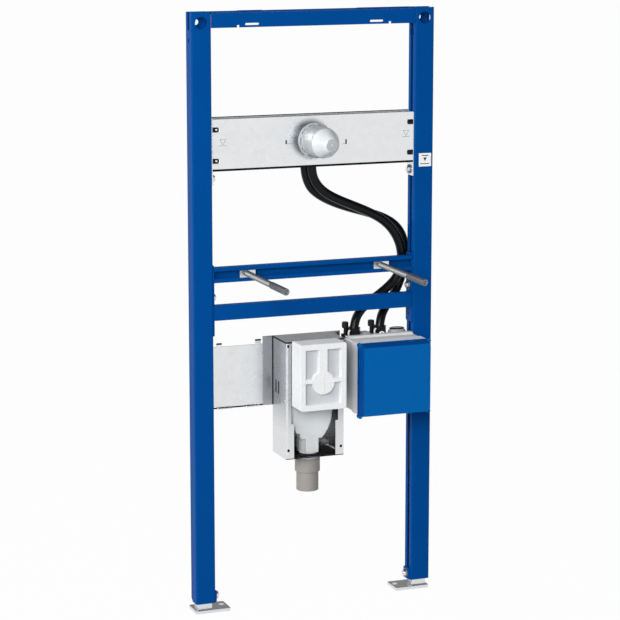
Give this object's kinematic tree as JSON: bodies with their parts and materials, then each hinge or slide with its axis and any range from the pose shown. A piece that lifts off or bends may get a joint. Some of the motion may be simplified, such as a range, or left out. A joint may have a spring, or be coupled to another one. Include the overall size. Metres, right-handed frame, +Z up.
{
  "type": "basin installation frame",
  "caption": "Tall blue steel frame on telescopic feet, with a tap plate, basin studs, a concealed trap, a function box and hoses between its posts.",
  "frame": {"origin": "on the floor, halfway between the two floor bolt holes", "axes": "+X to the right seen from the front, +Y back to the wall, +Z up"},
  "size_m": [0.5, 0.2705, 1.1806],
  "materials": {
    "blue_steel": "satin powder coat",
    "zinc_steel": "zinc plated",
    "galvanised_sheet": "galvanised",
    "white_plastic": "moulded",
    "clear_plastic": "moulded, translucent",
    "grey_plastic": "moulded",
    "blue_plastic": "moulded",
    "pipe_plastic": "extruded",
    "black_plastic": "moulded",
    "black_rubber": "matt"
  },
  "bodies": {
    "feet": {"left_leg": "zinc_steel", "right_leg": "zinc_steel", "left_leg_shoe": "black_plastic", "right_leg_shoe": "black_plastic", "left_foot_plate": "zinc_steel", "right_foot_plate": "zinc_steel"},
    "frame": {"box_plug": "grey_plastic", "cap_ring": "clear_plastic", "crossbar": "blue_steel", "fastening_rail": "blue_steel", "front_hose": "black_rubber", "function_box_body": "grey_plastic", "function_box_collar": "grey_plastic", "function_box_cover": "blue_plastic", "left_bar_bracket": "blue_steel", "left_hose_fitting": "black_plastic", "left_leg_clamp_bolt": "zinc_steel", "left_leg_clamp_plate": "blue_steel", "left_post": "blue_steel", "left_rail_bolt": "zinc_steel", "left_rail_bracket": "blue_steel", "left_tap_bolt": "zinc_steel", "left_tap_bracket": "galvanised_sheet", "left_valve_clip": "white_plastic", "left_valve_knob": "black_plastic", "outlet_pipe": "pipe_plastic", "outlet_seal": "black_rubber", "rear_hose": "black_rubber", "right_bar_bracket": "blue_steel", "right_hose_fitting": "black_plastic", "right_leg_clamp_bolt": "zinc_steel", "right_leg_clamp_plate": "blue_steel", "right_post": "blue_steel", "right_rail_bolt": "zinc_steel", "right_rail_bracket": "blue_steel", "right_tap_bolt": "zinc_steel", "right_tap_bracket": "galvanised_sheet", "right_valve_clip": "white_plastic", "right_valve_knob": "black_plastic", "tap_cap": "clear_plastic", "tap_holder": "grey_plastic", "tap_plate": "galvanised_sheet", "top_rail": "blue_steel", "trap_box": "galvanised_sheet", "trap_cover": "white_plastic", "trap_insert": "clear_plastic", "trap_plate": "galvanised_sheet"},
    "left_stud_body": {"left_slide_nut": "zinc_steel", "left_stud": "zinc_steel"},
    "right_stud_body": {"right_slide_nut": "zinc_steel", "right_stud": "zinc_steel"}
  },
  "joints": [
    {"name": "frame_lift", "type": "slide", "parent": "feet", "child": "frame", "axis": [0, 0, 1], "range_m": [0, 0.2]},
    {"name": "left_stud_slide", "type": "slide", "parent": "frame", "child": "left_stud_body", "axis": [-1, 0, 0], "range_m": [-0.08, 0.045]},
    {"name": "right_stud_slide", "type": "slide", "parent": "frame", "child": "right_stud_body", "axis": [1, 0, 0], "range_m": [-0.08, 0.045]}
  ]
}
